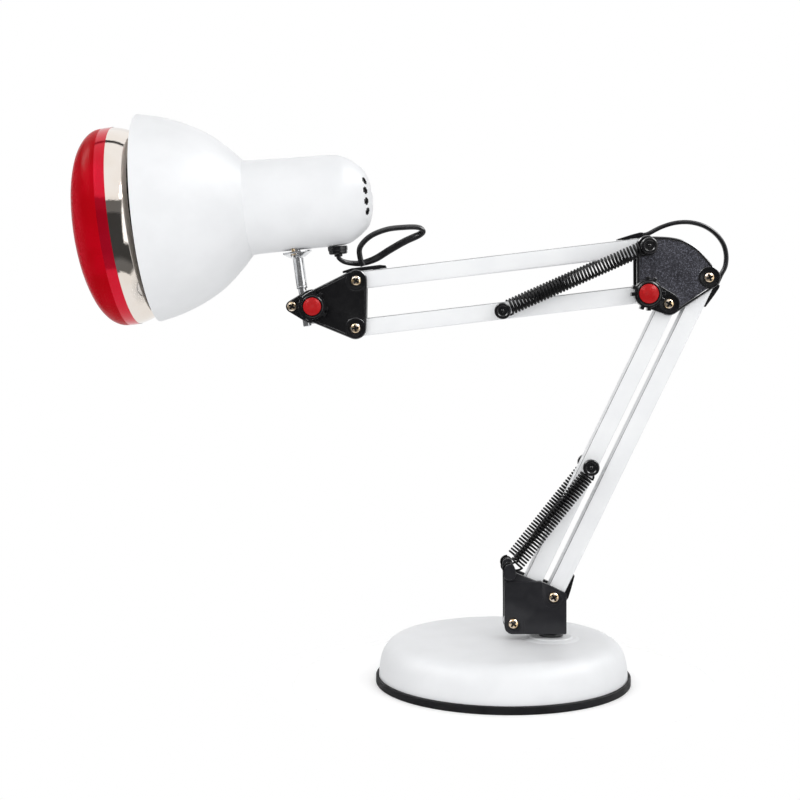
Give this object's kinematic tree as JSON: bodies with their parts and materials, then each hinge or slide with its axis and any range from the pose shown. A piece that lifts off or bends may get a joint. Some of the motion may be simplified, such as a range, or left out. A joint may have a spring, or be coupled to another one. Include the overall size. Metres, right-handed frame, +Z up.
{
  "type": "infrared heat therapy lamp",
  "caption": "Free-standing heat lamp: round weighted base, sprung parallelogram arm with clamp knobs, white bell shade and a red-fronted reflector bulb on a swivel stem.",
  "frame": {"origin": "middle of the underside of the round base, where the lamp stands", "axes": "+Z up; the lamp head points along -X and the arm's hinges lie along Y, with the knobs on the -Y side"},
  "size_m": [0.4131, 0.161, 0.3593],
  "materials": {
    "white_enamel": "satin",
    "white_bar": "satin",
    "black_plastic": "grained",
    "black_rubber": "matte",
    "cord_jacket": "satin",
    "cast_iron": "rough",
    "zinc_steel": "zinc plated",
    "yellow_zinc": "yellow zinc plated steel",
    "spring_wire": "black coated",
    "red_plastic": "semi-gloss",
    "chrome": "polished",
    "red_glass": "stippled inside, glossy outside",
    "silvered_glass": "mirror",
    "ceramic": "glazed ceramic"
  },
  "bodies": {
    "base": {"base_shell": "white_enamel", "rubber_rim": "black_rubber", "base_pad": "black_rubber", "base_weight": "cast_iron", "swivel_bush": "black_plastic", "swivel_nut": "zinc_steel"},
    "bracket": {"bracket_front": "black_plastic", "bracket_rear": "black_plastic", "swivel_pin": "zinc_steel", "bracket_screw_left": "yellow_zinc", "bracket_screw_right": "yellow_zinc"},
    "lower_left": {"lower_bar_left": "white_bar", "lower_spring_post": "black_plastic", "lower_spring_cap": "black_plastic", "lower_spring_front": "spring_wire", "lower_spring_rear": "spring_wire"},
    "lower_right": {"lower_bar_right": "white_bar", "base_cord_clip": "black_plastic", "mid_cord_clip_lower": "black_plastic", "lower_cord_run": "cord_jacket"},
    "mid_joint": {"mid_plate_front": "black_plastic", "mid_plate_rear": "black_plastic", "mid_screw_left": "yellow_zinc", "mid_screw_right": "yellow_zinc", "mid_spring_post": "black_plastic", "mid_spring_cap": "black_plastic", "mid_bolt": "zinc_steel"},
    "mid_clamp_knob": {"mid_knob": "black_plastic", "mid_knob_cap": "red_plastic"},
    "upper_top": {"upper_bar_top": "white_bar", "mid_cord_clip_upper": "black_plastic", "head_cord_clip": "black_plastic", "head_cord_loop": "cord_jacket", "mid_cord_loop": "cord_jacket", "upper_cord_run": "cord_jacket"},
    "upper_bottom": {"upper_bar_bottom": "white_bar", "upper_spring_post": "black_plastic", "upper_spring_cap": "black_plastic", "upper_spring_front": "spring_wire", "upper_spring_rear": "spring_wire"},
    "head_joint": {"head_plate_front": "black_plastic", "head_plate_rear": "black_plastic", "head_screw_top": "yellow_zinc", "head_screw_bottom": "yellow_zinc", "head_bolt": "zinc_steel"},
    "head_clamp_knob": {"head_knob": "black_plastic", "head_knob_cap": "red_plastic"},
    "head_clamp": {"clamp_front": "black_plastic", "clamp_rear": "black_plastic", "clamp_screw": "yellow_zinc"},
    "lamp_head": {"stem": "chrome", "stem_flange": "chrome", "flange_screw": "yellow_zinc", "shade": "white_enamel", "holder_shell": "white_enamel", "lamp_socket": "ceramic", "cord_gland": "black_rubber", "bulb_lens": "red_glass", "bulb_reflector": "silvered_glass", "bulb_cap": "yellow_zinc"}
  },
  "joints": [
    {"name": "base_swivel", "type": "hinge", "parent": "base", "child": "bracket", "pos_m": [0.0306, 0, 0.03], "axis": [0, 0, 1], "range_deg": [-170, 170]},
    {"name": "lower_arm_tilt", "type": "hinge", "parent": "bracket", "child": "lower_left", "pos_m": [0.0061, 0, 0.038], "axis": [0, 1, 0], "range_deg": [-50, 8], "deforming": ["lower_spring_front", "lower_spring_rear"]},
    {"name": "lower_right_tilt", "type": "hinge", "parent": "bracket", "child": "lower_right", "pos_m": [0.0316, 0, 0.05456], "axis": [0, 1, 0], "range_deg": [-50, 8]},
    {"name": "mid_level", "type": "hinge", "parent": "lower_left", "child": "mid_joint", "pos_m": [0.10407, 0, 0.23922], "axis": [0, 1, 0], "range_deg": [-8, 50]},
    {"name": "upper_arm_tilt", "type": "hinge", "parent": "mid_joint", "child": "upper_top", "pos_m": [0.09057, 0, 0.27562], "axis": [0, 1, 0], "range_deg": [-30, 45], "deforming": ["mid_cord_loop"]},
    {"name": "upper_bottom_tilt", "type": "hinge", "parent": "mid_joint", "child": "upper_bottom", "pos_m": [0.09015, 0, 0.24562], "axis": [0, 1, 0], "range_deg": [-30, 45], "deforming": ["upper_spring_front", "upper_spring_rear"]},
    {"name": "head_level", "type": "hinge", "parent": "upper_top", "child": "head_joint", "pos_m": [-0.09284, 0, 0.25384], "axis": [0, 1, 0], "range_deg": [-45, 30]},
    {"name": "head_tilt", "type": "hinge", "parent": "head_joint", "child": "head_clamp", "pos_m": [-0.11994, 0, 0.23755], "axis": [0, 1, 0], "range_deg": [-50, 12], "deforming": ["head_cord_loop"]},
    {"name": "stem_swivel", "type": "hinge", "parent": "head_clamp", "child": "lamp_head", "pos_m": [-0.12559, 0, 0.23676], "axis": [-0.1374, 0, 0.9905], "range_deg": [-75, 75]},
    {"name": "mid_knob_turn", "type": "hinge", "parent": "mid_joint", "child": "mid_clamp_knob", "pos_m": [0.09015, -0.012, 0.24562], "axis": [0, 1, 0], "range_deg": [-180, 30]},
    {"name": "head_knob_turn", "type": "hinge", "parent": "head_joint", "child": "head_clamp_knob", "pos_m": [-0.11994, -0.012, 0.23755], "axis": [0, 1, 0], "range_deg": [-180, 30]}
  ],
  "couplings": [
    {"joint": "lower_right_tilt", "follows": "lower_arm_tilt", "ratio": 1},
    {"joint": "mid_level", "follows": "lower_arm_tilt", "ratio": -1},
    {"joint": "upper_bottom_tilt", "follows": "upper_arm_tilt", "ratio": 1},
    {"joint": "head_level", "follows": "upper_arm_tilt", "ratio": -1}
  ]
}
